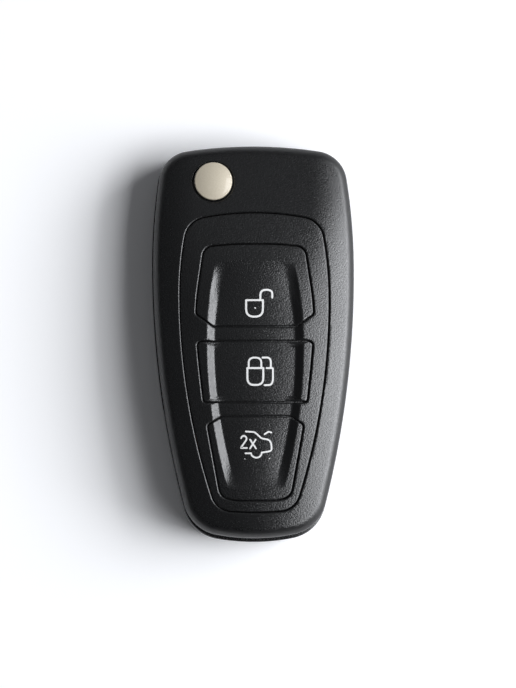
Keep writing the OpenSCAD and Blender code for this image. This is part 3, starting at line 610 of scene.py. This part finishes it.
class Finish(Nodes):
    """A procedural material."""

    def __init__(self, name):
        self.material = bpy.data.materials.new(name)
        self.material.use_nodes = True
        super().__init__(self.material.node_tree)
        self.place = self.add("ShaderNodeTexCoord", out="Object")

    def noise(self, scale, detail=2.0, rough=0.5, stretch=None):
        """Noise over the surface; scale is in features per metre."""
        at = self.place
        if stretch:
            at = self.add("ShaderNodeMapping", {}, {"Vector": at, "Scale": stretch})
        sockets = {"Vector": at, "Scale": scale, "Detail": detail, "Roughness": rough}
        return self.add("ShaderNodeTexNoise", {}, sockets)

    def cells(self, scale, out="Distance"):
        """Voronoi cells; scale is in cells per metre."""
        return self.add("ShaderNodeTexVoronoi", {}, {"Vector": self.place, "Scale": scale}, out)

    def relief(self, height, depth):
        """Bump of the given depth in millimetres."""
        return self.add("ShaderNodeBump", {}, {"Height": height, "Distance": depth * MM, "Strength": 1.0})

    def surface(self, base, rough, normal, **fixed):
        """The Principled shader; fixed values are set on its own sockets."""
        sockets = {"Base Color": base, "Roughness": rough, "Normal": normal}
        sockets.update({key.replace("_", " "): value for key, value in fixed.items()})
        self.show(self.add("ShaderNodeBsdfPrincipled", {}, sockets))
        return self.material


def spark_plastic(name, dark, light, rough, depth):
    """Black plastic from a spark-eroded mould: fine rounded grain, with a broad drift in its gloss. The gloss
    also falls where the surface is seen half edge on."""
    f = Finish(name)
    grain = f.noise(3600, 1.5, 0.55)
    pits = f.cells(3700)
    drift = f.noise(90)
    tone = (grain * 2.2 - 0.6).least(1.0).most(0.0)
    edge_on = f.add("ShaderNodeLayerWeight", {}, {"Blend": 0.5}, "Facing")
    gloss = rough + (grain - 0.5) * 0.3 + (drift - 0.5) * 0.05 + edge_on * (1.0 - edge_on) * 1.4
    normal = f.relief(grain * 0.75 + pits * 0.25, depth)
    return f.surface(f.tint(tone, dark, light), gloss, normal, IOR=1.73)


def satin_paint():
    """Champagne lacquer with fine metal flakes under it."""
    f = Finish("satin_champagne")
    flake = f.cells(9000, "Color")
    grey = f.add("ShaderNodeSeparateColor", {}, {0: flake})
    base = f.tint(grey, (0.565, 0.503, 0.386), (0.625, 0.563, 0.446))
    normal = f.relief(f.noise(2600, 1.0), 0.0012)
    return f.surface(base, 0.46 + grey * 0.06, normal, Metallic=0.1, Coat_Weight=0.55, Coat_Roughness=0.03)


def print_white():
    """Opaque white print with a slight mottle."""
    f = Finish("print_white")
    mottle = f.noise(5200)
    base = f.tint(mottle, (0.80, 0.80, 0.79), (0.93, 0.93, 0.92))
    return f.surface(base, 0.45 + mottle * 0.12, f.relief(mottle, 0.004))


def brushed(name, a, b, along, rough):
    """Metal with fine brush lines along one axis: noise drawn out along it."""
    f = Finish(name)
    line = f.noise(1.0, 3.0, 0.6, along)
    cloud = f.noise(160)
    base = f.tint(line * 0.7 + cloud * 0.3, a, b)
    return f.surface(base, rough + (line - 0.5) * 0.22, f.relief(line, 0.003), Metallic=1.0)


def mottled(name, a, b, rough, scale, depth, metal=0.0):
    """General moulded or soldered finish: two close colours mixed by noise, with a matching bump."""
    f = Finish(name)
    n = f.noise(scale, 3.0, 0.6)
    return f.surface(f.tint(n, a, b), rough + (n - 0.5) * 0.14, f.relief(n, depth), Metallic=metal)


def solder_mask():
    """Green solder mask over copper tracks: cells give the track edges, noise the weave of the glass."""
    f = Finish("solder_mask")
    tracks = f.cells(420).above(0.32)
    weave = f.noise(2200, 1.0)
    base = f.tint(tracks, (0.012, 0.085, 0.04), (0.018, 0.14, 0.06))
    return f.surface(base, 0.28 + weave * 0.12, f.relief(tracks * 0.5 + weave * 0.2, 0.02))


# Dark and light tone of the black plastic
BLACK = (0.0009, 0.0010, 0.0012), (0.0030, 0.0032, 0.0036)
FINISH = {
    "case": spark_plastic("case_grain", *BLACK, 0.22, 0.042),
    "keys": spark_plastic("key_grain", *BLACK, 0.25, 0.062),
    "head": spark_plastic("head_grain", (0.002, 0.0022, 0.0025), (0.006, 0.0062, 0.0066), 0.30, 0.045),
    "satin": satin_paint(),
    "print": print_white(),
    "blade": brushed("blade_steel", (0.62, 0.61, 0.59), (0.78, 0.77, 0.75), (9000, 120, 9000), 0.42),
    "bar": brushed("bar_steel", (0.55, 0.55, 0.54), (0.70, 0.70, 0.69), (160, 9000, 9000), 0.36),
    "spring": mottled("spring_steel", (0.33, 0.33, 0.33), (0.47, 0.465, 0.455), 0.30, 1800, 0.004, 1.0),
    "mat": mottled("grey_silicone", (0.055, 0.056, 0.058), (0.085, 0.086, 0.088), 0.62, 900, 0.01),
    "board": solder_mask(),
    "switch": mottled("switch_case", (0.035, 0.035, 0.037), (0.06, 0.06, 0.062), 0.45, 1500, 0.006),
    "chip": mottled("chip_epoxy", (0.012, 0.012, 0.013), (0.025, 0.025, 0.026), 0.55, 3000, 0.008),
    "tin": mottled("tinned_metal", (0.55, 0.545, 0.53), (0.70, 0.69, 0.67), 0.32, 1200, 0.004, 1.0),
    "ceramic": mottled("chip_ceramic", (0.30, 0.21, 0.13), (0.40, 0.30, 0.19), 0.5, 2600, 0.006),
    "copper": mottled("track_copper", (0.62, 0.33, 0.19), (0.78, 0.45, 0.28), 0.34, 1400, 0.004, 1.0),
    "tray": mottled("tray_plastic", (0.03, 0.03, 0.031), (0.055, 0.055, 0.056), 0.5, 1800, 0.008),
}
# CAD solids that are kept, and their finishes
CARRIED = {
    "blade_pin": "spring", "circuit_board": "board", "tact_switches": "switch", "controller_chip": "chip",
    "radio_chip": "chip", "crystal": "tin", "chip_parts": "ceramic", "antenna_loop": "copper",
    "coin_cell": "tin", "cell_clip": "tin", "cell_contact": "tin", "module_tray": "tray",
    "transponder": "chip", "keyring_bar": "bar",
}


def settle(ob, finish, body, node=None, sharp=38):
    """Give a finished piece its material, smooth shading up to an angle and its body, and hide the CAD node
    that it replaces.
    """
    ob.data.materials.clear()
    ob.data.materials.append(FINISH[finish])
    ob.data.polygons.foreach_set("material_index", np.zeros(len(ob.data.polygons), np.int32))
    ob.data.polygons.foreach_set("use_smooth", np.ones(len(ob.data.polygons), bool))
    ob.data.set_sharp_from_angle(angle=math.radians(sharp))
    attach(ob, body)
    if node:
        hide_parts(node)
    return ob


for node, finish in CARRIED.items():
    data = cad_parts[node].data
    data.materials.clear()
    data.materials.append(FINISH[finish])

settle(front_shell(), "case", "case", "front_shell")
settle(rear_shell(), "case", "case", "rear_shell")
settle(button_panel(), "keys", "case", "button_panel")
release = settle(release_key(), "satin", "release", "release_button")
# Faces of the release key below the shade line take the black head plastic: painted shade for the deep gap
# round the key
release.data.materials.append(FINISH["head"])
centres = np.empty(3 * len(release.data.polygons), np.float32)
release.data.polygons.foreach_get("center", centres)
release.data.polygons.foreach_set("material_index", (centres[2::3] < PAINTED_SHADE_LINE * MM).astype(np.int32))
settle(blade_head(), "head", "key", "blade_head")
settle(blade(), "blade", "key", "key_blade")
settle(key_mat(), "mat", "case", "keypad")
for key, y in KEY_FEET.items():
    pad = settle(key_pad(key + "_pad", y), "mat", "case", None)
    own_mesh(pad)
coil = settle(release_coil(), "spring", "key", "flip_spring")
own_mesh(coil)


# Pictograms: white strokes in shallow channels of the press keys, in millimetres on the face

def bent(points, radii, n=9):
    """Path through corner points, each inner corner replaced by a parabola that starts and ends up to its
    radius away from it."""
    p = np.asarray(points, float)
    out = [p[:1]]
    t = np.linspace(0, 1, n)[:, None]
    for a, q, b, r in zip(p[:-2], p[1:-1], p[2:], np.broadcast_to(radii, len(p) - 2)):
        s = q + (a - q) * min(r / np.hypot(*(a - q)), 0.5)
        e = q + (b - q) * min(r / np.hypot(*(b - q)), 0.5)
        out.append((1 - t) ** 2 * s + 2 * t * (1 - t) * q + t ** 2 * e)
    out.append(p[-1:])
    return np.concatenate(out)


def line(*points):
    """Straight path through points."""
    return np.array(points)


def bow(cx, cy, rx, ry, a, b, n=25):
    """Points on an ellipse from angle a to b in degrees, 0 to the right and 90 up."""
    t = np.radians(np.linspace(a, b, n))
    return np.stack([cx + rx * np.cos(t), cy + ry * np.sin(t)], 1)


def stroke(path, width, low, high, step=0.06, ends=5):
    """Closed stroke on the face: the path is walked at even steps, its two sides lie half a width off along
    the normal and draw in to a half circle at both ends, between two heights over the face."""
    d = np.hypot(*np.diff(path, axis=0).T)
    keep = np.concatenate([[True], d > 1e-9])
    s, path = np.concatenate([[0], np.cumsum(d)])[keep], path[keep]
    half = width / 2
    u = np.linspace(0, s[-1], max(int(s[-1] / step), 6))
    q = np.stack([np.interp(u, s, path[:, 0]), np.interp(u, s, path[:, 1])], 1)
    t = np.gradient(q, u, axis=0)
    t /= np.hypot(*t.T)[:, None]
    turn = np.linspace(0, math.pi / 2, ends + 1)[:-1]
    reach, w = half * np.cos(turn)[:, None], half * np.sin(turn)
    q = np.concatenate([q[0] - t[0] * reach, q, q[-1] + t[-1] * reach[::-1]])
    t = np.concatenate([np.repeat(t[:1], ends, 0), t, np.repeat(t[-1:], ends, 0)])
    w = np.concatenate([w, np.full(len(u), half), w[::-1]])[:, None]
    side = np.stack([-t[:, 1], t[:, 0]], 1) * w
    ring = [np.column_stack([p, face(p[:, 0], p[:, 1]) + dz])
            for p, dz in ((q + side, low), (q + side, high), (q - side, high), (q - side, low))]
    return solid("stroke", list(np.stack(ring, 1)))


# Each sign is a list of paths with the widths of their strokes
BOLD, PLAIN, FINE, SPOT, DOT = 0.38, 0.36, 0.32, 0.24, 0.16
UNLOCK_SIGN = [
    (bent([(-1.72, 8.03), (-1.74, 4.80), (1.55, 4.80), (1.56, 8.03)], 1.56), BOLD),
    (line((-1.72, 8.03), (1.56, 8.03)), BOLD),
    (bent([(1.07, 8.03), (1.08, 10.06), (3.41, 10.06), (3.40, 8.54)], 1.17), BOLD),
    (line((-0.03, 6.54), (0.09, 6.46)), SPOT),
]
LOCK_SIGN = [
    (bent([(-1.55, -5.25), (-1.56, -8.54), (1.54, -8.54), (1.56, -5.25)], 1.37), BOLD),
    (line((-1.55, -5.25), (1.56, -5.25)), BOLD),
    (bent([(-1.29, -5.25), (-1.28, -3.20), (1.18, -3.20), (1.17, -5.25)], 1.21), PLAIN),
    (bent([(1.43, -3.20), (3.05, -3.20), (3.04, -5.25)], 1.17), PLAIN),
    (bent([(2.20, -5.25), (3.45, -5.25), (3.44, -8.55), (1.80, -8.59)], (0.2, 1.46)), PLAIN),
]
BOOT_SIGN = [
    (bent([(-1.92, -17.60), (-0.18, -17.71), (1.16, -18.96), (2.51, -19.18), (3.01, -19.71),
           (3.14, -21.13), (2.83, -21.45), (1.21, -21.70)], 0.39), FINE),
    (bow(0.13, -21.70, 1.05, 1.00, 0, -174), FINE),
    (line((-0.92, -21.84), (-1.99, -21.84)), FINE),
    (bent([(1.75, -18.14), (2.52, -17.64), (3.10, -17.81)], 0.2), FINE),
    (np.concatenate([bow(-2.29, -18.98, 0.53, 0.53, 172, -36, 17), [(-2.89, -20.80), (-1.70, -20.80)]]), FINE),
    (line((-1.08, -19.18), (0.06, -20.90)), FINE),
    (line((0.01, -19.18), (-1.09, -20.90)), FINE),
    (line((-2.14, -22.93), (-2.06, -22.93)), DOT),
    (line((2.65, -22.85), (2.73, -22.85)), DOT),
]
# Channels: how much wider than their strokes, and their floor and top over the face
CHANNEL_WIDER, CHANNEL_LOW, CHANNEL_TOP = 0.14, -0.10, 0.4
# Strokes: their foot and top over the face, and how much lower each lies than the one before
STROKE_LOW, STROKE_TOP, STROKE_STEP = -0.12, -0.02, 0.004

KEYS = ("unlock", UNLOCK, UNLOCK_SIGN), ("lock", LOCK, LOCK_SIGN), ("boot", BOOT, BOOT_SIGN)
for name, plan, sign in KEYS:
    cap = press_key(name + "_cap", plan, KEY_FEET[name])
    work(cap, "DIFFERENCE", *(stroke(path, width + CHANNEL_WIDER, CHANNEL_LOW, CHANNEL_TOP)
                              for path, width in sign))
    settle(cap, "keys", name, name + "_button")
    fill = joined(name + "_sign", [stroke(path, width, STROKE_LOW, STROKE_TOP - STROKE_STEP * k)
                                   for k, (path, width) in enumerate(sign)])
    settle(fill, "print", name, sharp=50)


# Floor and light. What the camera, mirrors and glass see of the floor is lifted a little towards white

HALF_FLOOR, LIFT, GLOW = 3, 0.16, 0.1
NOTHING, WHITE = (0, 0, 0), (1, 1, 1)
ground = bpy.data.meshes.new("floor")
corners = [(HALF_FLOOR * x, HALF_FLOOR * y, 0) for x, y in ((-1, -1), (1, -1), (1, 1), (-1, 1))]
ground.from_pydata(corners, [], [(0, 1, 2, 3)])
floor = put("floor", ground)
paper = Finish("white_paper")
tone = paper.tint(paper.noise(800), (0.95, 0.95, 0.955), (0.97, 0.97, 0.975))
white = paper.add("ShaderNodeBsdfDiffuse", {}, {"Color": tone})
ray = lambda kind: paper.add("ShaderNodeLightPath", out=f"Is {kind} Ray")
seen = ray("Camera").most(ray("Glossy")).most(ray("Transmission")) * LIFT
lifted = paper.add("ShaderNodeBsdfDiffuse", {}, {"Color": paper.tint(seen, NOTHING, WHITE)})
glow = paper.add("ShaderNodeEmission", {}, {"Color": paper.tint(seen, NOTHING, WHITE), "Strength": GLOW})
more = paper.add("ShaderNodeAddShader", {}, {0: lifted, 1: glow})
paper.show(paper.add("ShaderNodeAddShader", {}, {0: white, 1: more}))
ground.materials.append(paper.material)

# A dim room that grows lighter towards a place overhead
DIM, LIGHTER = (0.063, 0.0645, 0.068), (0.215, 0.22, 0.231)
OVERHEAD, NARROW = (0.05, 0.3, 0.95), 9.0
world = bpy.data.worlds.new("studio")
scene.world = world
world.use_nodes = True
sky = Nodes(world.node_tree)
way = sky.add("ShaderNodeTexCoord", out="Generated")
near = sky.add("ShaderNodeVectorMath", {"operation": "DOT_PRODUCT"}, {0: way, 1: OVERHEAD}, "Value").most(0.0)
sky.show(sky.add("ShaderNodeBackground", {}, {"Color": sky.tint(near ** NARROW, DIM, LIGHTER)}), "World")

# Daylight, slightly cool
COOL = (0.95, 0.967, 1.0)


def lamp(name, place, aim, size, power):
    """Soft lamp of the given width and height, turned so that it faces its aim."""
    data = bpy.data.lights.new(name, "AREA")
    data.shape, data.energy, data.color = "RECTANGLE", power, COOL
    data.size, data.size_y = size
    ob = put(name, data)
    ob.location = place
    ob.rotation_euler = (Vector(aim) - Vector(place)).to_track_quat("-Z", "Y").to_euler()


lamp("window", (1.36, 0.08, 0.97), (0, 0, 0.97), (1.4, 1.0), 36.2)
lamp("softbox", (0.845, -0.16, 1.21), (0, 0, 0), (1.0, 0.6), 10.6)

# Camera over the fob: how far it leans to the left and down in degrees, its roll, its distance in metres, the
# place that it looks at, its lens and its frame
LEAN_LEFT, LEAN_DOWN, ROLL, DISTANCE = 2.7, 4.0, -0.33, 0.64
LOOK_AT, LENS, SENSOR = (0.88, -0.06, 8.0), 169.85, 36.0
toward = Vector((-math.tan(math.radians(LEAN_LEFT)), -math.tan(math.radians(LEAN_DOWN)), 1.0)).normalized()
right = Vector((0, 1, 0)).cross(toward).normalized()
up = toward.cross(right)
c, s = math.cos(math.radians(ROLL)), math.sin(math.radians(ROLL))
right, up = right * c + up * s, up * c - right * s
pose = Matrix((right, up, toward)).transposed().to_4x4()
pose.translation = Vector(LOOK_AT) * MM + toward * DISTANCE
camera = put("camera", bpy.data.cameras.new("camera"))
camera.matrix_world = pose
camera.data.sensor_width = camera.data.sensor_height = SENSOR
camera.data.lens = LENS
camera.data.clip_start, camera.data.clip_end = 0.01, 20.0
scene.camera = camera
